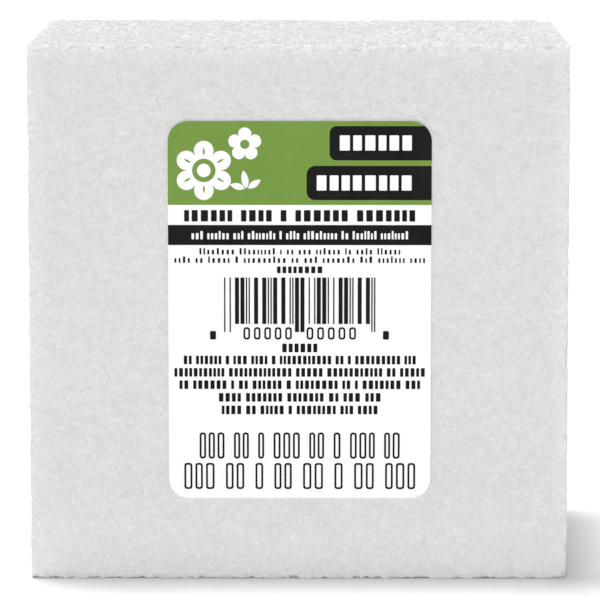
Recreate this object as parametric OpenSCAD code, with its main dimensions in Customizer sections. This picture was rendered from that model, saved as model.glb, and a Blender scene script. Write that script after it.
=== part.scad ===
// Floral foam brick: a block of rigid white craft foam with a printed
// self-adhesive label on its front face.
//
// Frame: millimetres, +Z up, origin at the middle of the block's footprint.
// X runs left to right, the label faces -Y, the block stands on Z = 0.

/* [Foam block] */
// Width of the block, left to right
block_w = 99.2; // [70:0.1:160]
// Depth of the block, front to back
block_d = 73; // [40:0.1:120]
// Height of the block
block_h = 98.8; // [85:0.1:160]
// Radius that handling leaves on the cut edges
edge_r = 1.2; // [0.4:0.1:4]

/* [Label] */
// Width of the label
label_w = 48.3; // [44:0.1:60]
// Height of the label
label_h = 69.9; // [69.5:0.1:76]
// Radius of the label's corners
label_r = 3.7; // [1:0.1:6]
// How far the label's middle is right of the block's middle
label_dx = 0.2; // [-4:0.1:4]
// Height of the label's middle above the base
label_z = 50.1; // [40:0.1:60]
// Thickness of the adhesive coat
adhesive_t = 0.05; // [0.02:0.01:0.2]
// Thickness of the label's paper
paper_t = 0.1; // [0.05:0.01:0.3]
// Thickness of the printed ink
ink_t = 0.03; // [0.02:0.01:0.1]

/* [Print] */
// Height of the coloured header
header_h = 15.4; // [15:0.1:16.2]
// Height of each black tab in the header
tab_h = 6.3; // [5:0.1:6.6]
// Length of the upper tab
tab_upper_w = 18.7; // [14:0.1:21]
// Length of the lower tab
tab_lower_w = 22.9; // [18:0.1:25]
// Height of the black band across the label
band_h = 3.7; // [2:0.1:3.9]
// Half the width of the bar pattern
bars_half_w = 13.9; // [8:0.1:18]

/* [Hidden] */
$fn = 48;
front = -block_d / 2;
adhesive_y = front;
paper_y = adhesive_y - adhesive_t;
ink_y = paper_y - paper_t;
// Tops of the two tabs and of the band, measured down from the label's top
tab_upper_v = 0.9;
tab_lower_v = 8.2;
band_v = 19.1;
bars_v = 28.8;

// Lines of print, each shown as one bar for each word:
// [top, height, half width, letters in each word]
LINES = [
    [16.3, 2.1, 21.4, [6, 4, 1, 6, 7]],
    [23.4, 0.9, 18.6, [8, 4, 3, 7, 2, 5, 9, 6]],
    [24.9, 0.9, 23.2, [5, 9, 3, 6, 2, 8, 4, 7, 6, 5]],
    [26.7, 1.2, 4.3, [5, 5]],
    [41.1, 1.5, 3.4, [8]],
    [43.4, 1.4, 21.5, [7, 4, 9, 5, 8, 6]],
    [45.7, 1.4, 23.2, [6, 8, 3, 9, 7, 4, 5]],
    [48.0, 1.4, 22.3, [9, 5, 6, 8, 4, 7]],
    [50.4, 1.4, 15.1, [6, 8, 3, 7]],
    [52.7, 1.4, 14.5, [5, 7, 4, 8]],
    [58.6, 3.1, 18.7, [3, 2, 1, 3, 2, 1, 3, 2]],
    [64.2, 3.1, 21.6, [2, 2, 1, 2, 2, 1, 2, 2]]
];

// Width of bar i of the bar pattern, and of the gap after it, in modules
function bar_modules(i) = 1 + (i * i * 5 + i * 3) % 4 % 3;
function gap_modules(i) = 1 + (i * i * 3 + i * 7 + 2) % 5 % 3;
function run(i) = i < 0 ? 0 : run(i - 1) + bar_modules(i) + gap_modules(i);
BARS = 27;
module_w = 2 * bars_half_w / (run(BARS - 1) - gap_modules(BARS - 1));

// Sum of the first n entries of a list
function total(list, n) = n <= 0 ? 0 : list[n - 1] + total(list, n - 1);

// A rectangle with round corners, centred
module rounded(w, h, r) {
    square([w - 2 * r, h], center = true);
    square([w, h - 2 * r], center = true);
    for (x = [-1, 1], z = [-1, 1])
        translate([x * (w / 2 - r), z * (h / 2 - r)]) circle(r);
}

// Stands a flat shape up on the front face: its x stays x, its y is the
// distance up from the label's top (so negative inside the label)
module on_label(y, t) {
    translate([label_dx, y, label_z + label_h / 2])
        rotate([90, 0, 0]) linear_extrude(t) children();
}

// The label's outline in the label's own coordinates
module label_outline() {
    translate([0, -label_h / 2]) rounded(label_w, label_h, label_r);
}

// A tab that runs off the label's right edge, with round corners on its left
module tab(v, w) {
    r = 1.4;
    translate([label_w / 2 - w, -v - tab_h]) {
        translate([r, 0]) square([w - r, tab_h]);
        translate([0, r]) square([r + 0.1, tab_h - 2 * r]);
        for (z = [r, tab_h - r]) translate([r, z]) circle(r);
    }
}

// A flower of round petals about a centre, radius r over the petals
module blossom(r, petals) {
    petal_r = r * 0.34;
    for (i = [0 : petals - 1])
        rotate(90 + i * 360 / petals) translate([r - petal_r, 0]) circle(petal_r);
    circle(r * 0.52);
}

// A leaf: two arcs that meet in two points, length l
module leaf(l, turn) {
    rotate(turn) translate([l * 0.5, 0]) intersection() {
        translate([0, l * 0.42]) circle(l * 0.65);
        translate([0, -l * 0.42]) circle(l * 0.65);
    }
}

// Unprinted shapes in the header
module motif() {
    translate([-17.6, -9.1]) difference() {
        blossom(5.3, 6);
        circle(1.3);
    }
    translate([-10.1, -4.3]) difference() {
        blossom(2.9, 5);
        circle(0.7);
    }
    translate([-9.6, -12.4]) {
        circle(0.3);
        leaf(3.4, 100);
        leaf(2.8, 35);
        leaf(2.8, 165);
    }
}

module foam_block() {
    color([0.87, 0.87, 0.88]) intersection() {
        linear_extrude(block_h) rounded(block_w, block_d, edge_r);
        translate([0, block_d / 2, block_h / 2]) rotate([90, 0, 0])
            linear_extrude(block_d) rounded(block_w, block_h, edge_r);
        translate([-block_w / 2, 0, block_h / 2]) rotate([90, 0, 90])
            linear_extrude(block_w) rounded(block_d, block_h, edge_r);
    }
}

module label_adhesive() {
    color([0.93, 0.92, 0.86]) on_label(adhesive_y, adhesive_t) label_outline();
}

module label_paper() {
    color([1, 1, 1]) on_label(paper_y, paper_t) label_outline();
}

module green_ink() {
    color([0.48, 0.62, 0.30]) on_label(ink_y, ink_t) difference() {
        intersection() {
            label_outline();
            translate([-label_w, -header_h]) square([2 * label_w, header_h]);
        }
        tab(tab_upper_v, tab_upper_w);
        tab(tab_lower_v, tab_lower_w);
        motif();
    }
}

// Header tabs with a plain unprinted bar in each
module tabs() {
    difference() {
        intersection() {
            label_outline();
            union() {
                tab(tab_upper_v, tab_upper_w);
                tab(tab_lower_v, tab_lower_w);
            }
        }
        translate([6.9, -tab_upper_v - tab_h / 2 - 0.8]) square([13.8, 1.6]);
        translate([2.6, -tab_lower_v - tab_h / 2 - 0.8]) square([18, 1.6]);
    }
}

// Band with a row of plain unprinted bars
module band() {
    words = [5, 8, 2, 6, 4, 9, 3, 7];
    n = len(words);
    pitch = 40 / (total(words, n) + n - 1);
    difference() {
        translate([-label_w / 2, -band_v - band_h]) square([label_w, band_h]);
        for (i = [0 : n - 1])
            translate([-20 + pitch * (total(words, i) + i), -band_v - band_h / 2 - 0.45])
                square([pitch * words[i], 0.9]);
    }
}

// One line of print, one bar for each word
module line_of_print(v, h, half_w, words) {
    n = len(words);
    pitch = 2 * half_w / (total(words, n) + n - 1);
    for (i = [0 : n - 1])
        translate([-half_w + pitch * (total(words, i) + i), -v - h])
            square([pitch * words[i], h]);
}

// The bar pattern: it follows a rule of its own and holds no number
module bar_pattern() {
    for (i = [0 : BARS - 1]) {
        long = i < 2 || i > BARS - 3 || abs(i - (BARS - 1) / 2) < 1;
        h = long ? 10.1 : 8.7;
        translate([-bars_half_w + module_w * run(i - 1), -bars_v - h])
            square([module_w * bar_modules(i), h]);
    }
}

module black_ink() {
    color([0.14, 0.13, 0.13]) on_label(ink_y, ink_t) {
        tabs();
        band();
        for (l = LINES) line_of_print(l[0], l[1], l[2], l[3]);
        bar_pattern();
    }
}

foam_block();
label_adhesive();
label_paper();
green_ink();
black_ink();
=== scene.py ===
"""Floral foam brick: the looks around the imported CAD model.

The foam block is a closed mesh with real relief (cut cells, worn and crumbled
edges). The label is thin closed pieces that lie on it: adhesive, paper and two
inks, each with its own procedural material.
"""

import math

import bmesh
import bpy
import numpy as np
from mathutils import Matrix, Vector
from mathutils.geometry import delaunay_2d_cdt


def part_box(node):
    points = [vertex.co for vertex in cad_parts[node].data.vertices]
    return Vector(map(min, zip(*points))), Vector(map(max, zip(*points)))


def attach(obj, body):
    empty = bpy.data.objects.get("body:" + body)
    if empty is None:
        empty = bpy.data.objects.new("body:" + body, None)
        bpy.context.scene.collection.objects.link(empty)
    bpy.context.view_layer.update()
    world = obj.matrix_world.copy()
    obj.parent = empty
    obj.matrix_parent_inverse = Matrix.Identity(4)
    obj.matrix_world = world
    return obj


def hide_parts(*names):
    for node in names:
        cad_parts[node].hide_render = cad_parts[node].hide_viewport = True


MM = 0.001
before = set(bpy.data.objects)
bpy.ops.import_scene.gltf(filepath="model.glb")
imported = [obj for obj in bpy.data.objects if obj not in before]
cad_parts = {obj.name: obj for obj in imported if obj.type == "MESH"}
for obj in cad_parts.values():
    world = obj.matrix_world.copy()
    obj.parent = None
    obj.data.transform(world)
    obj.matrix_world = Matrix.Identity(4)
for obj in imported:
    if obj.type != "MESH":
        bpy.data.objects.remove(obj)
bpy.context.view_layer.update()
scene = bpy.context.scene

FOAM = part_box("foam_block")
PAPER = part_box("label_paper")
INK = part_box("black_ink")

# ---------------------------------------------------------------- camera
cam_data = bpy.data.cameras.new("camera")
cam_data.sensor_width = 36.0
cam_data.lens = 249.6
cam_data.clip_start, cam_data.clip_end = 0.05, 50.0
camera = bpy.data.objects.new("camera", cam_data)
scene.collection.objects.link(camera)
camera.location = (3.81 * MM, -794.3 * MM, 151.8 * MM)
camera.rotation_euler = (math.radians(90 - 7.497), 0.0, math.radians(0.269))
scene.camera = camera

# ------------------------------------------------------------ noise in numpy


def _hash(ix, iy, iz, seed):
    """A number in 0..1 for each lattice point, the same on every run."""
    with np.errstate(over="ignore"):
        h = (
            ix.astype(np.uint32) * np.uint32(374761393)
            + iy.astype(np.uint32) * np.uint32(668265263)
            + iz.astype(np.uint32) * np.uint32(2246822519)
            + np.uint32((seed * 3266489917) & 0xFFFFFFFF)
        )
        h ^= h >> np.uint32(15)
        h *= np.uint32(2246822519)
        h ^= h >> np.uint32(13)
        h *= np.uint32(3266489917)
        h ^= h >> np.uint32(16)
    return h.astype(np.float64) / 4294967296.0


def noise(p, size, seed):
    """Smooth gradient noise, about -1..1, with features of about size."""
    q = p / size
    base = np.floor(q)
    f = q - base
    i = base.astype(np.int64)
    w = f * f * f * (f * (f * 6 - 15) + 10)
    out = np.zeros(len(p))
    for dx in (0, 1):
        wx = w[:, 0] if dx else 1 - w[:, 0]
        for dy in (0, 1):
            wy = w[:, 1] if dy else 1 - w[:, 1]
            for dz in (0, 1):
                wz = w[:, 2] if dz else 1 - w[:, 2]
                a, b, c = i[:, 0] + dx, i[:, 1] + dy, i[:, 2] + dz
                g = (
                    (_hash(a, b, c, seed) * 2 - 1) * (f[:, 0] - dx)
                    + (_hash(a, b, c, seed + 101) * 2 - 1) * (f[:, 1] - dy)
                    + (_hash(a, b, c, seed + 202) * 2 - 1) * (f[:, 2] - dz)
                )
                out += wx * wy * wz * g
    return out * 1.6


def cells(p, size, seed):
    """Foam cells: (distance to the nearest centre, to the next one, the nearest cell's own number), distances in units of size."""
    q = p / size
    base = np.floor(q).astype(np.int64)
    n = len(p)
    f1, f2, own = np.full(n, 9.0), np.full(n, 9.0), np.zeros(n)
    for dx in (-1, 0, 1):
        for dy in (-1, 0, 1):
            for dz in (-1, 0, 1):
                a, b, c = base[:, 0] + dx, base[:, 1] + dy, base[:, 2] + dz
                d = np.sqrt(
                    (a + _hash(a, b, c, seed) - q[:, 0]) ** 2
                    + (b + _hash(a, b, c, seed + 11) - q[:, 1]) ** 2
                    + (c + _hash(a, b, c, seed + 22) - q[:, 2]) ** 2
                )
                near = d < f1
                f2 = np.where(near, f1, np.minimum(f2, d))
                own = np.where(near, _hash(a, b, c, seed + 33), own)
                f1 = np.where(near, d, f1)
    return f1, f2, own


def smooth(lo, hi, x):
    t = np.clip((x - lo) / (hi - lo), 0, 1)
    return t * t * (3 - 2 * t)


# ------------------------------------------------------------ the foam block


def graded(half, step, band, band_step):
    """Evenly many grid gaps from -half to half, closer together within band of each end."""
    ends = np.linspace(0, band, round(band / band_step) + 1)
    m = 2 * round((half - band) / step)
    middle = np.linspace(-half + band, half - band, m + 1)[1:-1]
    return np.concatenate([-half + ends, middle, (half - ends)[::-1]])


def shell(gx, gy, gz, first, open_side):
    """The sides of a box on grid lines, but for one that is left open.

    Returns points, quads, the side each quad is on and the loop of points
    around the opening. Points are numbered from first."""
    on = np.zeros((len(gx), len(gy), len(gz)), bool)
    on[0], on[-1] = True, True
    on[:, 0], on[:, -1] = True, True
    on[:, :, 0], on[:, :, -1] = True, True
    level = -1 if open_side == 5 else 0
    on[1:-1, 1:-1, level] = False
    index = np.full(on.shape, -1, np.int64)
    index[on] = first + np.arange(int(on.sum()))
    i, j, k = np.nonzero(on)
    p = np.stack([gx[i], gy[j], gz[k]], 1)

    def quads(a, flip):
        q = np.stack([a[:-1, :-1], a[1:, :-1], a[1:, 1:], a[:-1, 1:]], -1).reshape(-1, 4)
        return q[:, ::-1] if flip else q

    sides = [
        (quads(index[0], True), 0),
        (quads(index[-1], False), 1),
        (quads(index[:, 0], False), 2),
        (quads(index[:, -1], True), 3),
        (quads(index[:, :, 0], True), 4),
        (quads(index[:, :, -1], False), 5),
    ]
    sides = [s for s in sides if s[1] != open_side]
    faces = np.concatenate([s[0] for s in sides])
    side = np.concatenate([np.full(len(s[0]), s[1]) for s in sides])
    ring = index[:, :, level]
    loop = np.concatenate([ring[:-1, 0], ring[-1, :-1], ring[:0:-1, -1], ring[0, :0:-1]])
    return p, faces, side, loop


def crumbs(p, wander, size, seed):
    """Relief of cut foam: single cells standing out or torn out, and fine grain."""
    f1, f2, own = cells(p + 0.35 * wander, 1.25 * size, seed)
    return (
        smooth(0.0, 0.30, f2 - f1) * 0.34 * (own - 0.5)
        + 0.26 * noise(p, size, seed + 3)
        + 0.17 * noise(p, 0.65 * size, seed + 12)
    )


def foam_mesh(edge_r=0.35):
    lo, hi = np.array(FOAM[0]) / MM, np.array(FOAM[1]) / MM
    centre, half = (lo + hi) / 2, (hi - lo) / 2
    # the top, with the first few mm under it, is twice as fine as the rest
    gx, gy = graded(half[0], 0.21, 1.5, 0.125), graded(half[1], 0.25, 1.5, 0.125)
    top_z = half[2] - np.concatenate([np.arange(2.75, 1.5, -0.25), np.arange(1.5, -0.01, -0.125)])
    gz = np.concatenate(
        [-half[2] + np.arange(0, 1.5, 0.25), np.linspace(1.5 - half[2], half[2] - 3.25, 189)]
    )
    low_p, low_q, low_side, low_loop = shell(gx[::2], gy[::2], gz, 0, 5)
    top_p, top_q, top_side, top_loop = shell(gx, gy, top_z, len(low_p), 4)
    p = np.concatenate([low_p, top_p])
    quads = np.concatenate([low_q, top_q])
    # a strip of triangles joins the two
    a, b = low_loop, np.roll(low_loop, -1)
    c, d, e = top_loop[::2], top_loop[1::2], np.roll(top_loop, -2)[::2]
    strip = np.stack([np.stack(t, 1) for t in ((a, b, d), (a, d, c), (b, e, d))], 1).reshape(-1, 3)
    n, m = len(gx[::2]) - 1, len(gy[::2]) - 1
    strip_side = np.repeat(np.repeat([2, 1, 3, 0], [n, m, n, m]), 3)

    # round the edges and corners
    inner = half - edge_r
    q = np.clip(p, -inner, inner)
    v = p - q
    normal = v / np.linalg.norm(v, axis=1, keepdims=True)
    flat = p.copy()
    # the base keeps nearly square edges
    square = 0.95 * smooth(0.0, 0.3, -normal[:, 2]) * (1 / np.abs(normal).max(axis=1) - 1)
    p = q + edge_r * normal * (1 + square)[:, None]
    # relief moves points this way, which turns over a wider band than the edge
    # does, so that deep wear doesn't fold the surface
    v = flat - np.clip(flat, 1.6 - half, half - 1.6)
    way = v / np.linalg.norm(v, axis=1, keepdims=True)

    # how far each point is from the nearest edge, over the face
    gap = np.sort(half - np.abs(flat), axis=1)
    to_edge = gap[:, 1]
    edge = np.exp(-((to_edge / 0.8) ** 2))
    corner = np.exp(-((gap[:, 2] / 1.6) ** 2)) * edge

    # relief of the cut face, in mm, outwards from the CAD face
    wander = np.stack([noise(p, 2.3, s) for s in (5, 6, 7)], 1)
    _, _, own_big = cells(p + 0.5 * wander, 2.9, 40)
    # the front and back are smooth cuts, the ends rougher, the top a coarse
    # sawn face, and the base rubbed flat
    side = np.clip(1 - np.abs(way[:, 1]), 0, 1)
    top, base = smooth(0.35, 0.95, way[:, 2]), smooth(0.35, 0.95, -way[:, 2])
    rough = 0.28 + 0.30 * side + 0.85 * top - 0.50 * base
    grain = crumbs(p, wander, 1.2, 50)
    on = top > 0
    grain[on] += top[on] * (crumbs(p[on], wander[on], 0.78, 80) - grain[on])
    d = -0.05 + 0.04 * base + 0.10 * top + 0.04 * noise(p, 24.0, 1) * (1 - base)
    d += rough * (
        -0.06
        + 0.20 * noise(p, 5.2, 2)
        + (0.18 - 0.08 * top) * noise(p, 2.5, 4)
        + (0.10 - 0.04 * top) * (own_big - 0.5)
        + grain
    )
    # crumbs gone from, and left on, the edges
    e1, e2, chip = cells(p + 0.3 * wander, 1.1, 60)
    worn = 0.75 + 0.40 * smooth(0.1, 0.6, way[:, 2])
    ragged = edge * worn * (0.28 * noise(p, 1.25, 8) + 0.34 * noise(p, 0.62, 14))
    d += ragged + edge * worn * (
        -0.09
        - 0.16 * smooth(0.84, 0.92, chip) * smooth(0.0, 0.25, e2 - e1)
        + 0.10 * noise(p, 4.0, 9)
    )
    d -= corner * worn * (0.22 + 0.5 * noise(p, 2.0, 10))
    # coarse crumbs hang on along the edges of the base
    foot = edge * smooth(0.1, 0.6, -way[:, 2])
    d -= 0.30 * foot * corner
    low = foot > 0.01
    c1, c2, own = cells(p[low] + 0.35 * wander[low], 1.5, 90)
    lump = 0.17 + 0.66 * (own - 0.65) - 0.24 * (1 - smooth(0.0, 0.35, c2 - c1))
    d[low] += (foot * (1 - corner))[low] * lump
    # nothing stands proud of the block, but for crumbs on its top and edges
    cap = np.maximum(0.20 * top, 0.17 * edge)
    d = cap + 0.5 * ((d - cap) - np.sqrt((d - cap) ** 2 + 0.05**2))

    # the label lies flat on the front face
    x, z = p[:, 0] + centre[0], p[:, 2] + centre[2]
    plo, phi = np.array(PAPER[0]) / MM, np.array(PAPER[1]) / MM
    pc, ph = (plo + phi) / 2, (phi - plo) / 2
    out = rounded_distance(x - pc[0], z - pc[2], ph[0], ph[2], 3.7)
    under = smooth(0.15, -0.55, out) * (normal[:, 1] < -0.99)
    d = d * (1 - under) - 0.02 * under

    p = p + way * d[:, None]
    p = np.clip(p, -half - np.array([0.17, 0.17, 0]), half + np.array([0.17, 0.17, 0.20])) + centre

    mesh = bpy.data.meshes.new("foam_block_cut")
    mesh.vertices.add(len(p))
    mesh.vertices.foreach_set("co", (p * MM).astype(np.float32).ravel())
    corners = np.concatenate([quads.ravel(), strip.ravel()])
    size = np.concatenate([np.full(len(quads), 4), np.full(len(strip), 3)])
    mesh.loops.add(len(corners))
    mesh.loops.foreach_set("vertex_index", corners.astype(np.int32))
    mesh.polygons.add(len(size))
    mesh.polygons.foreach_set("loop_start", (np.cumsum(size) - size).astype(np.int32))
    mesh.polygons.foreach_set("loop_total", size.astype(np.int32))
    mesh.polygons.foreach_set("use_smooth", np.ones(len(size), bool))
    mesh.update(calc_edges=True)
    # how high each point stands in its own surroundings, where the sawn top counts for more; the material uses it to
    # paint shade into the low points and highlights onto the high ones
    height = mesh.attributes.new("painted_relief_shade_and_highlight", "FLOAT", "POINT")
    height.data.foreach_set("value", (((rough + 0.90 * top) * grain + 0.7 * ragged) * (1 - under)).astype(np.float32))
    # how much each point is on the top face, which the material paints darker as painted shade
    top_shade_layer = mesh.attributes.new("painted_top_shade", "FLOAT", "POINT")
    top_shade_layer.data.foreach_set("value", top.astype(np.float32))
    mesh.validate()

    # a map with one upright rectangle for each side of the block
    face_side = np.concatenate([low_side, top_side, strip_side])
    uv = box_layout(flat[corners], np.repeat(face_side, size), half)
    layer = mesh.uv_layers.new(name="OFBake")
    layer.data.foreach_set("uv", uv.astype(np.float32).ravel())
    return mesh


def rounded_distance(x, z, hx, hz, r):
    """Signed distance to a rounded rectangle's outline, negative inside."""
    ax, az = np.abs(x) - (hx - r), np.abs(z) - (hz - r)
    return (
        np.sqrt(np.maximum(ax, 0) ** 2 + np.maximum(az, 0) ** 2)
        + np.minimum(np.maximum(ax, az), 0)
        - r
    )


def box_layout(pts, side_of, half):
    """UVs for points on the six sides, packed without overlap into the unit square."""
    w, d, h = 2 * half
    pad = 1.2
    # side: (axis across, axis up, left, bottom), in mm
    rows = {
        2: (0, 2, 0, 0),
        3: (0, 2, w + pad, 0),
        0: (1, 2, 0, h + pad),
        1: (1, 2, d + pad, h + pad),
        4: (0, 1, 0, 2 * (h + pad)),
        5: (0, 1, w + pad, 2 * (h + pad)),
    }
    total = max(2 * w + pad, 2 * (h + pad) + d) + 2 * pad
    uv = np.zeros((len(pts), 2))
    for side, (a, b, left, bottom) in rows.items():
        on = side_of == side
        uv[on, 0] = (pts[on, a] + half[a] + left + pad) / total
        uv[on, 1] = (pts[on, b] + half[b] + bottom + pad) / total
    return uv


foam = bpy.data.objects.new("foam_block_cut", foam_mesh())
scene.collection.objects.link(foam)
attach(foam, "root")
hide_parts("foam_block")

# ---------------------------------------------------------------- the label
# Label coordinates are in mm: u to the right of the label's middle, v down
# from its top edge.
LW = (PAPER[1].x - PAPER[0].x) / MM
LH = (PAPER[1].z - PAPER[0].z) / MM
LX = (PAPER[1].x + PAPER[0].x) / 2 / MM
LZ = PAPER[1].z / MM
LR = 3.7
HEADER_H = 15.4
FOAM_Y = FOAM[0].y / MM
GLUE_Y = PAPER[1].y / MM
PAPER_Y = PAPER[0].y / MM
INK_Y = INK[0].y / MM


def arc(cx, cy, r, a0, a1, n):
    return [
        (cx + r * math.cos(math.radians(a)), cy + r * math.sin(math.radians(a)))
        for a in np.linspace(a0, a1, n)
    ]


def box(u0, v0, u1, v1, r=0.0, n=4):
    """A rectangle, with round corners of radius r."""
    if r <= 0:
        return [(u0, v0), (u1, v0), (u1, v1), (u0, v1)]
    return (
        arc(u0 + r, v0 + r, r, 180, 270, n)
        + arc(u1 - r, v0 + r, r, 270, 360, n)
        + arc(u1 - r, v1 - r, r, 0, 90, n)
        + arc(u0 + r, v1 - r, r, 90, 180, n)
    )


def disc(u, v, r, n=28):
    return arc(u, v, r, 0, 360, n + 1)[:-1]


def flower(u, v, r, petals, depth=0.42, turn=-90.0, n=26):
    """The outline of a flower with round petals."""
    pts = []
    for i in range(petals * n):
        a = i / n
        t = abs(math.cos(math.pi * a))
        k = 1 - depth * (1 - t**0.55)
        ang = math.radians(turn + 360 * a / petals)
        pts.append((u + r * k * math.cos(ang), v + r * k * math.sin(ang)))
    return pts


def leaf(u, v, length, width, turn, n=12):
    """A pointed leaf that starts at (u, v)."""
    c, s = math.cos(math.radians(turn)), math.sin(math.radians(turn))
    side = [
        (length * t, width / 2 * math.sin(math.pi * t) ** 0.8 * (1 - 0.25 * t))
        for t in np.linspace(0, 1, n)
    ]
    ring = side + [(a, -b) for a, b in side[-2:0:-1]]
    return [(u + a * c - b * s, v + a * s + b * c) for a, b in ring]


def inside(p, a, b):
    """Whether each of the points p is inside an outline, and outside its holes, whose edges run from a to b."""
    p, run = p[:, None, :], b - a
    spans = (a[:, 1] > p[..., 1]) != (b[:, 1] > p[..., 1])
    rise = np.where(run[:, 1] == 0, 1.0, run[:, 1])
    left = p[..., 0] < a[:, 0] + (p[..., 1] - a[:, 1]) / rise * run[:, 0]
    return (spans & left).sum(axis=1) % 2 == 1


def inner_points(a, b, step):
    """Points of a square grid that lie well inside such an outline."""
    lo, hi, run = a.min(axis=0), a.max(axis=0), b - a
    lines = [np.arange(lo[i] + 0.37 * step, hi[i], step) for i in (0, 1)]
    p = np.stack(np.meshgrid(*lines), -1).reshape(-1, 2)
    off = p[:, None, :] - a
    t = (off * run).sum(-1) / np.maximum((run**2).sum(-1), 1e-12)
    gap = np.linalg.norm(off - np.clip(t, 0, 1)[..., None] * run, axis=-1).min(axis=1)
    return [tuple(v) for v in p[inside(p, a, b) & (gap > 0.35 * step)]]


def slab(name, shapes, y_back, y_front, node, flat_back=False, step=2.0):
    """Closed thin pieces. shapes is a list of (outline, [holes]), in label coordinates.

    They follow the foam a little, except for a flat back."""
    pts, tris, walls = [], [], []
    for outline, holes in shapes:
        ring, edges = [], []
        for loop in [outline] + list(holes):
            first = len(ring)
            for (a, b), (c, d) in zip(loop, loop[1:] + loop[:1]):
                n = max(1, math.ceil(math.hypot(c - a, d - b) / step))
                ring += [(a + (c - a) * i / n, -b - (d - b) * i / n) for i in range(n)]
            edges += [(i, i + 1) for i in range(first, len(ring) - 1)] + [(len(ring) - 1, first)]
        starts, ends = (np.array([ring[e[k]] for e in edges]) for k in (0, 1))
        ring += inner_points(starts, ends, step)
        made = delaunay_2d_cdt([Vector(v) for v in ring], edges, [], 1, 1e-5)
        flat, three = np.array([v[:] for v in made[0]]), np.array(made[2])
        three = three[inside(flat[three].mean(axis=1), starts, ends)]
        at, rim = len(pts), {}
        pts += flat.tolist()
        for a, b, c in three.tolist():
            (ax, ay), (bx, by), (cx, cy) = flat[a], flat[b], flat[c]
            if (bx - ax) * (cy - ay) < (cx - ax) * (by - ay):
                b, c = c, b
            tris.append((at + a, at + b, at + c))
            for i, j in ((a, b), (b, c), (c, a)):
                if rim.pop((j, i), None) is None:
                    rim[(i, j)] = True
        walls += [(at + i, at + j) for i, j in rim]
    n, pts = len(pts), np.array(pts)
    p = np.stack([pts[:, 0] + 50, np.full(n, 7.3), 20 - pts[:, 1]], 1)
    lift = 0.022 + 0.016 * noise(p, 9.0, 71) + 0.008 * noise(p, 3.4, 72)
    x, z = pts[:, 0] + LX, pts[:, 1] + LZ
    front = np.stack([x, y_front - lift, z], 1)
    back = np.stack([x, y_back - lift * (not flat_back), z], 1)
    faces = tris + [(n + c, n + b, n + a) for a, b, c in tris]
    faces += [(j, i, n + i, n + j) for i, j in walls]
    mesh = bpy.data.meshes.new(name)
    mesh.from_pydata((np.concatenate([front, back]) * MM).tolist(), [], faces)
    # one flat map, as seen from the front
    layer = mesh.uv_layers.new(name="OFBake")
    for loop in mesh.loops:
        c = mesh.vertices[loop.vertex_index].co
        layer.data[loop.index].uv = (
            0.02 + 0.96 * (c.x - PAPER[0].x) / (PAPER[1].z - PAPER[0].z),
            0.02 + 0.96 * (c.z - PAPER[0].z) / (PAPER[1].z - PAPER[0].z),
        )
    ob = bpy.data.objects.new(name, mesh)
    scene.collection.objects.link(ob)
    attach(ob, "root")
    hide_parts(node)
    return ob


LABEL = box(-LW / 2, 0.0, LW / 2, LH, LR, 14)
glue = slab(
    "label_adhesive_coat", [(LABEL, [])], FOAM_Y + 0.03, GLUE_Y, "label_adhesive", flat_back=True
)
paper = slab("label_paper_face", [(LABEL, [])], GLUE_Y, PAPER_Y, "label_paper")

# the header, cut away where the tabs run off its right side
T1, T2 = (5.45, 0.9, 7.2, 1.3), (1.25, 8.2, 14.5, 1.6)  # left, top, bottom, radius


def tab_left(u, v0, v1, r, n=7):
    """The left end of a tab, from its top edge to its bottom edge."""
    return arc(u + r, v0 + r, r, 270, 180, n) + arc(u + r, v1 - r, r, 180, 90, n)


R = LW / 2
cut = math.degrees(math.acos((LR - T1[1]) / LR))
header = (
    arc(-R + LR, LR, LR, 180, 270, 14)
    + arc(R - LR, LR, LR, 270, 270 + cut, 8)
    + tab_left(T1[0], T1[1], T1[2], T1[3])
    + [(R, T1[2]), (R, T2[1])]
    + tab_left(T2[0], T2[1], T2[2], T2[3])
    + [(R, T2[2]), (R, HEADER_H), (-R, HEADER_H)]
)
tab_1 = (
    arc(R - LR, LR, LR, 270 + cut, 360, 8)
    + [(R, T1[2])]
    + tab_left(T1[0], T1[1], T1[2], T1[3])[::-1]
)
tab_2 = [(R, T2[1]), (R, T2[2])] + tab_left(T2[0], T2[1], T2[2], T2[3])[::-1]

# white motif in the header: two flowers and a sprig, of unprinted paper
BIG, SMALL, SPRIG = (-17.55, 9.05), (-10.05, 4.25), (-9.55, 10.35)
green = [(header, [flower(*BIG, 5.45, 6), flower(*SMALL, 3.1, 5),
                   leaf(SPRIG[0] - 0.2, SPRIG[1] + 2.0, 3.4, 1.5, -100),
                   leaf(SPRIG[0] + 0.1, SPRIG[1] + 2.0, 2.8, 1.4, -35),
                   leaf(SPRIG[0] - 0.5, SPRIG[1] + 2.0, 2.8, 1.4, -165)])]
green += [
    (disc(*BIG, 2.15), [disc(*BIG, 1.25)]),
    (disc(*SMALL, 0.85, 20), []),
]
# a fine vein in each big petal
for i in range(6):
    a = -90 + 60 * i
    c, s = math.cos(math.radians(a)), math.sin(math.radians(a))
    green.append((leaf(BIG[0] + 2.75 * c, BIG[1] + 2.75 * s, 1.5, 0.42, a, 8), []))
green_ink = slab("green_print", green, PAPER_Y + 0.01, INK_Y, "green_ink")

# Words are shown as rows of plain upright marks, one for each letter, which
# spell nothing.
_state = [12345]


def rand():
    _state[0] = (_state[0] * 1103515245 + 12345) % 2147483648
    return _state[0] / 2147483648


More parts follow.
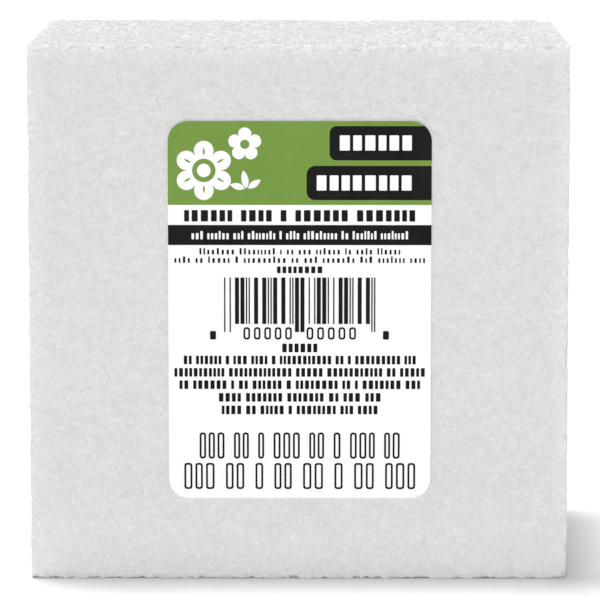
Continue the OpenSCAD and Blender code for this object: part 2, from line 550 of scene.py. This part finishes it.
def row(v0, v1, half, words, ink=0.66, outline=0.0, gap=0.75, mixed=False, at=0.0):
    """Marks for one line of print: between v0 and v1, half to each side of at."""
    low, spread = (0.95, 0.2) if outline else (0.8, 0.45)
    letters = [[low + spread * rand() for _ in range(w)] for w in words]
    space = gap * (len(words) - 1)
    scale = 2 * half / (sum(map(sum, letters)) + space)
    u, out = at - half, []
    for word in letters:
        for w in word:
            w *= scale
            pad = w * (1 - ink) / 2
            top, bottom = v0, v1
            if mixed:
                k = rand()
                top = v0 if k < 0.25 else v0 + 0.26 * (v1 - v0)
            shape = (box(u + pad, top, u + w - pad, bottom, min(0.12, w * ink * 0.3), 3), [])
            if outline:
                t = outline
                r = min(0.22, 0.4 * (w * ink - 2 * t))
                shape = (
                    box(u + pad, top, u + w - pad, bottom, 0.5, 5),
                    [box(u + pad + t, top + t, u + w - pad - t, bottom - t, r, 4)[::-1]],
                )
            out.append(shape)
            u += w
        u += gap * scale
    return out


black = [
    (tab_1, [s[0] for s in row(2.6, 5.4, 6.9, [6], 0.74, at=13.9)]),
    (tab_2, [s[0] for s in row(9.95, 12.75, 9.0, [8], 0.74, at=11.8)]),
]
band_marks = [s[0] for s in row(20.2, 21.75, 20.0, [3, 6, 3, 8, 1, 4, 9, 2, 7, 8], 0.6, mixed=True)]
black.append(([(-R, 19.1), (R, 19.1), (R, 22.8), (-R, 22.8)], band_marks))
black += row(16.35, 18.45, 21.4, [6, 4, 1, 6, 7], 0.68)
black += row(23.35, 24.55, 18.6, [8, 9, 1, 2, 3, 6, 2, 4, 6], 0.45, mixed=True)
black += row(24.9, 26.1, 23.2, [4, 2, 5, 1, 9, 2, 3, 7, 3, 7, 4], 0.45, mixed=True)
black += row(26.75, 28.0, 4.35, [8], 0.66)
# the bar pattern follows a rule and encodes nothing
bars, u = [], 0.0
for i in range(30):
    wide = 1 + (i * i * 5 + i * 3) % 4 % 3
    bars.append((u, wide, i))
    u += wide + 1 + (i * i * 3 + i * 7 + 2) % 5 % 3
module = 27.8 / (bars[-1][0] + bars[-1][1])
for a, wide, i in bars:
    long = i < 2 or i > 27 or i in (14, 15)
    black.append((box(-13.9 + a * module, 28.8, -13.9 + (a + wide) * module, 38.9 if long else 37.4), []))
for u0, u1, n in ((-10.7, -1.1, 5), (0.9, 10.7, 5)):
    w = (u1 - u0) / n
    for i in range(n):
        black.append((box(u0 + w * (i + 0.18), 38.0, u0 + w * (i + 0.82), 40.3, 0.5, 4),
                      [box(u0 + w * (i + 0.18) + 0.34, 38.34, u0 + w * (i + 0.82) - 0.34, 39.96, 0.2, 3)[::-1]]))
black += [(box(-16.5, 38.7, -15.4, 40.3, 0.2, 3), []), (box(15.3, 38.7, 16.4, 40.3, 0.2, 3), [])]
black += row(41.05, 42.65, 3.4, [6], 0.68)
black += row(43.3, 44.9, 21.5, [2, 6, 1, 3, 4, 1, 11, 2, 1, 9, 3], 0.66, gap=0.6)
black += row(45.6, 47.2, 23.2, [11, 13, 5, 11, 2, 5], 0.66, gap=0.6)
black += row(47.9, 49.5, 22.3, [2, 6, 1, 2, 6, 1, 8, 2, 1, 7, 3], 0.66, gap=0.6)
black += row(50.25, 51.85, 15.1, [4, 7, 7, 2, 3, 3], 0.66, gap=0.6)
black += row(52.6, 54.2, 14.5, [4, 2, 5, 1, 8, 3, 4], 0.66, gap=0.6)
black += row(57.6, 62.5, 18.7, [3, 2, 1, 3, 2, 1, 3, 2], 0.72, outline=0.36, gap=0.8)
black += row(63.3, 68.2, 21.6, [3, 2, 1, 2, 2, 1, 2, 3], 0.72, outline=0.36, gap=0.8)
black_ink = slab("black_print", black, PAPER_Y + 0.01, INK_Y, "black_ink")

# ------------------------------------------------------------- materials


class Mat:
    """A small helper that builds a node material."""

    def __init__(self, name):
        self.m = bpy.data.materials.new(name)
        self.m.use_nodes = True
        self.nt = self.m.node_tree
        self.bsdf = next(n for n in self.nt.nodes if n.type == "BSDF_PRINCIPLED")
        self.coord = self.nt.nodes.new("ShaderNodeTexCoord").outputs["Object"]

    def link(self, a, b):
        self.nt.links.new(a, b)

    def put(self, socket, value):
        if isinstance(value, bpy.types.NodeSocket):
            self.link(value, socket)
        else:
            socket.default_value = value

    def noise(self, mm, detail=2.0, rough=0.5, at=None, distort=0.0):
        n = self.nt.nodes.new("ShaderNodeTexNoise")
        self.link(at or self.coord, n.inputs["Vector"])
        n.inputs["Scale"].default_value = 1000.0 / mm
        n.inputs["Detail"].default_value = detail
        n.inputs["Roughness"].default_value = rough
        n.inputs["Distortion"].default_value = distort
        return n.outputs["Fac"]

    def wander(self, mm, amount_mm):
        """The coordinates, shaken by a noise."""
        n = self.nt.nodes.new("ShaderNodeTexNoise")
        self.link(self.coord, n.inputs["Vector"])
        n.inputs["Scale"].default_value = 1000.0 / mm
        n.inputs["Detail"].default_value = 1.0
        centred = self.vec("SUBTRACT", n.outputs["Color"], (0.5, 0.5, 0.5))
        moved = self.vec("SCALE", centred, None, 2 * amount_mm * MM)
        return self.vec("ADD", self.coord, moved)

    def vec(self, op, a, b, scale=None):
        n = self.nt.nodes.new("ShaderNodeVectorMath")
        n.operation = op
        self.put(n.inputs[0], a)
        if b is not None:
            self.put(n.inputs[1], b)
        if scale is not None:
            n.inputs["Scale"].default_value = scale
        return n.outputs[0]

    def cells(self, mm, feature="F1", at=None, out="Distance"):
        n = self.nt.nodes.new("ShaderNodeTexVoronoi")
        n.feature = feature
        self.link(at or self.coord, n.inputs["Vector"])
        n.inputs["Scale"].default_value = 1000.0 / mm
        return n.outputs[out]

    def ramp(self, x, lo, hi, a=0.0, b=1.0, smooth=True):
        n = self.nt.nodes.new("ShaderNodeMapRange")
        n.interpolation_type = "SMOOTHSTEP" if smooth else "LINEAR"
        self.link(x, n.inputs["Value"])
        for key, val in (("From Min", lo), ("From Max", hi), ("To Min", a), ("To Max", b)):
            n.inputs[key].default_value = val
        return n.outputs["Result"]

    def math(self, op, a, b=None, c=None):
        n = self.nt.nodes.new("ShaderNodeMath")
        n.operation = op
        for i, x in enumerate((a, b, c)):
            if x is not None:
                self.put(n.inputs[i], x)
        return n.outputs[0]

    def sum(self, *terms):
        """Adds (value, weight) pairs."""
        total = None
        for x, w in terms:
            total = self.math("MULTIPLY", x, w) if total is None else self.math("MULTIPLY_ADD", x, w, total)
        return total

    def mix(self, fac, a, b):
        n = self.nt.nodes.new("ShaderNodeMix")
        n.data_type = "RGBA"
        self.put(n.inputs[0], fac)
        self.put(n.inputs[6], (*a, 1) if isinstance(a, tuple) else a)
        self.put(n.inputs[7], (*b, 1) if isinstance(b, tuple) else b)
        return n.outputs[2]

    def strand(self, mm, width):
        """1 on the curled lines where a noise crosses its middle, 0 off them."""
        x = self.math("SUBTRACT", self.noise(mm, 1.0, 0.5, None, 0.6), 0.5)
        return self.ramp(self.math("ABSOLUTE", x), 0.0, width, 1.0, 0.0)

    def attribute(self, name):
        n = self.nt.nodes.new("ShaderNodeAttribute")
        n.attribute_name = name
        return n.outputs["Fac"]

    def above_base(self, box):
        split = self.nt.nodes.new("ShaderNodeSeparateXYZ")
        self.link(self.coord, split.inputs[0])
        return self.math("SUBTRACT", split.outputs[2], box[0][2])

    def edge_wear_and_highlight(self, box, reach_mm, most):
        """From most at the edges of a box to 0 at about reach_mm from them."""
        split = self.nt.nodes.new("ShaderNodeSeparateXYZ")
        self.link(self.coord, split.inputs[0])
        gaps = []
        for i in range(3):
            mid, half = (box[0][i] + box[1][i]) / 2, (box[1][i] - box[0][i]) / 2
            off = self.math("ABSOLUTE", self.math("SUBTRACT", split.outputs[i], mid))
            gaps.append(self.math("SUBTRACT", half, off))
        # the middle one of the three gaps
        low = self.math("MINIMUM", gaps[0], gaps[1])
        high = self.math("MAXIMUM", gaps[0], gaps[1])
        gap = self.math("MAXIMUM", low, self.math("MINIMUM", high, gaps[2]))
        return self.ramp(gap, 0.0, reach_mm * MM, most, 0.0)

    def bump(self, height, strength, distance_mm, normal=None):
        n = self.nt.nodes.new("ShaderNodeBump")
        n.inputs["Strength"].default_value = strength
        n.inputs["Distance"].default_value = distance_mm * MM
        self.link(height, n.inputs["Height"])
        if normal is not None:
            self.link(normal, n.inputs["Normal"])
        return n.outputs["Normal"]


def foam_material():
    m = Mat("foam")
    at = m.wander(1.3, 0.34)
    # cell walls where the cut went through them, in patches
    wall = m.ramp(m.cells(1.15, "DISTANCE_TO_EDGE", at), 0.015, 0.13, 1.0, 0.0)
    patch = m.ramp(m.noise(2.6, 1.0), 0.42, 0.62)
    wall = m.math("MULTIPLY", wall, patch)
    # curled strands: the thin lines where a noise crosses its middle
    curl = m.strand(1.05, 0.050)
    wisp = m.strand(0.58, 0.075)
    grain = m.noise(0.27, 2.0, 0.65)
    fine = m.noise(0.62, 2.0, 0.55)
    mid = m.noise(1.6, 2.0, 0.5)
    mottle = m.noise(5.5, 2.0, 0.5)
    broad = m.noise(24.0, 1.0)
    shade = m.sum(
        (grain, 1.12), (fine, 0.60), (mid, 0.20), (mottle, 0.16), (broad, 0.06),
        (wall, 0.18), (curl, 0.30), (wisp, 0.22),
    )
    # painted shade in the hollows between the crumbs and painted highlights on their tops, from the relief height;
    # the top face is also painted a little darker as painted shade
    painted_relief_shade_and_highlight = m.attribute("painted_relief_shade_and_highlight")
    shade = m.sum((shade, 1.0), (painted_relief_shade_and_highlight, 1.35), (m.attribute("painted_top_shade"), -0.46))
    shade = m.ramp(shade, 0.62, 1.82, 0.0, 1.0, smooth=False)
    base = m.mix(shade, (0.604, 0.604, 0.604), (0.816, 0.816, 0.816))
    # the highest tips are painted near white as painted glints
    base = m.mix(m.ramp(painted_relief_shade_and_highlight, 0.28, 0.50, 0.0, 0.6), base, (0.90, 0.90, 0.90))
    # whiter along the edges, partly crushed foam and partly painted highlight, and whiter up to 20 mm above the base
    # as painted light making up for the floor shadow in front of it
    worn = m.math(
        "MAXIMUM", m.edge_wear_and_highlight(FOAM, 4.4, 0.28), m.ramp(m.above_base(FOAM), 0.0, 20.0 * MM, 0.52, 0.0)
    )
    base = m.mix(worn, base, m.mix(shade, (0.75, 0.75, 0.75), (0.965, 0.965, 0.965)))
    m.link(base, m.bsdf.inputs["Base Color"])
    m.link(m.ramp(grain, 0.3, 0.7, 0.78, 0.95), m.bsdf.inputs["Roughness"])
    m.bsdf.inputs["Specular IOR Level"].default_value = 0.25
    # light travels a little way through the foam
    m.bsdf.inputs["Subsurface Weight"].default_value = 0.3
    m.bsdf.inputs["Subsurface Radius"].default_value = (1.0, 1.0, 1.0)
    m.bsdf.inputs["Subsurface Scale"].default_value = 0.0018
    height = m.sum((wall, 0.35), (curl, 0.25), (grain, 0.6), (fine, 0.8))
    m.link(m.bump(height, 0.6, 0.16), m.bsdf.inputs["Normal"])
    return m.m


def paper_material():
    m = Mat("label_paper")
    fibre = m.noise(0.5, 4.0, 0.65)
    cloud = m.noise(6.0, 2.0)
    base = m.mix(m.sum((fibre, 0.5), (cloud, 0.5)), (0.915, 0.915, 0.915), (0.965, 0.965, 0.965))
    m.link(base, m.bsdf.inputs["Base Color"])
    m.link(m.ramp(m.noise(1.4, 2.0), 0.3, 0.7, 0.44, 0.56), m.bsdf.inputs["Roughness"])
    m.bsdf.inputs["Specular IOR Level"].default_value = 0.42
    m.link(m.bump(fibre, 0.12, 0.02), m.bsdf.inputs["Normal"])
    return m.m


def ink_material(name, dark, light, rough):
    m = Mat(name)
    dots = m.noise(0.28, 2.0, 0.6)
    cloud = m.noise(5.0, 3.0)
    base = m.mix(m.ramp(m.sum((dots, 0.45), (cloud, 0.55)), 0.3, 0.7), dark, light)
    m.link(base, m.bsdf.inputs["Base Color"])
    m.link(m.ramp(m.noise(1.2, 2.0), 0.3, 0.7, rough - 0.05, rough + 0.06), m.bsdf.inputs["Roughness"])
    m.bsdf.inputs["Specular IOR Level"].default_value = 0.10
    m.link(m.bump(dots, 0.10, 0.02), m.bsdf.inputs["Normal"])
    return m.m


def glue_material():
    m = Mat("adhesive")
    cloud = m.noise(3.0, 3.0)
    m.link(m.mix(cloud, (0.80, 0.79, 0.73), (0.88, 0.87, 0.83)), m.bsdf.inputs["Base Color"])
    m.link(m.ramp(m.noise(0.8, 2.0), 0.3, 0.7, 0.25, 0.45), m.bsdf.inputs["Roughness"])
    m.link(m.bump(cloud, 0.2, 0.03), m.bsdf.inputs["Normal"])
    return m.m


for ob, mat in (
    (foam, foam_material()),
    (paper, paper_material()),
    (glue, glue_material()),
    (green_ink, ink_material("green_ink", (0.164, 0.288, 0.050), (0.188, 0.322, 0.061), 0.5)),
    (black_ink, ink_material("black_ink", (0.004, 0.0035, 0.0037), (0.009, 0.008, 0.0084), 0.5)),
):
    ob.data.materials.clear()
    ob.data.materials.append(mat)

# ---------------------------------------------------------- floor and light
bm = bmesh.new()
bmesh.ops.create_grid(bm, x_segments=1, y_segments=1, size=4.0)
floor_mesh = bpy.data.meshes.new("floor")
bm.to_mesh(floor_mesh)
bm.free()
floor = bpy.data.objects.new("floor", floor_mesh)
scene.collection.objects.link(floor)
white = Mat("floor")
white.bsdf.inputs["Base Color"].default_value = (0.95, 0.95, 0.95, 1)
white.bsdf.inputs["Roughness"].default_value = 0.9
white.bsdf.inputs["Specular IOR Level"].default_value = 0.1
floor_mesh.materials.append(white.m)

world = bpy.data.worlds.new("studio")
scene.world = world
world.use_nodes = True
nt = world.node_tree
sky = nt.nodes["Background"]
sky.inputs["Color"].default_value = (1, 1, 1, 1)
sky.inputs["Strength"].default_value = 0.21
# the backdrop itself is plain white
backdrop = nt.nodes.new("ShaderNodeBackground")
backdrop.inputs["Color"].default_value = (1, 1, 1, 1)
backdrop.inputs["Strength"].default_value = 1.1
seen = nt.nodes.new("ShaderNodeLightPath").outputs["Is Camera Ray"]
either = nt.nodes.new("ShaderNodeMixShader")
nt.links.new(seen, either.inputs[0])
nt.links.new(sky.outputs[0], either.inputs[1])
nt.links.new(backdrop.outputs[0], either.inputs[2])
nt.links.new(either.outputs[0], nt.nodes["World Output"].inputs["Surface"])


def sun(name, azimuth, elevation, strength, spread):
    """A soft distant light. Azimuth is measured from the front (-Y) towards the left."""
    data = bpy.data.lights.new(name, "SUN")
    data.energy = strength
    data.angle = math.radians(spread)
    ob = bpy.data.objects.new(name, data)
    scene.collection.objects.link(ob)
    a, e = math.radians(azimuth), math.radians(elevation)
    towards = Vector((-math.sin(a) * math.cos(e), -math.cos(a) * math.cos(e), math.sin(e)))
    ob.rotation_euler = towards.to_track_quat("Z", "Y").to_euler()
    return ob


sun("key", 140, 81.5, 2.44, 15.5)
sun("fill", 12, 6, 2.11, 60)
sun("side", -105, 10, 0.6, 70)

scene.view_settings.view_transform = "Standard"
scene.view_settings.look = "None"
scene.view_settings.exposure = 0.0
scene.view_settings.gamma = 1.0

bpy.context.view_layer.update()
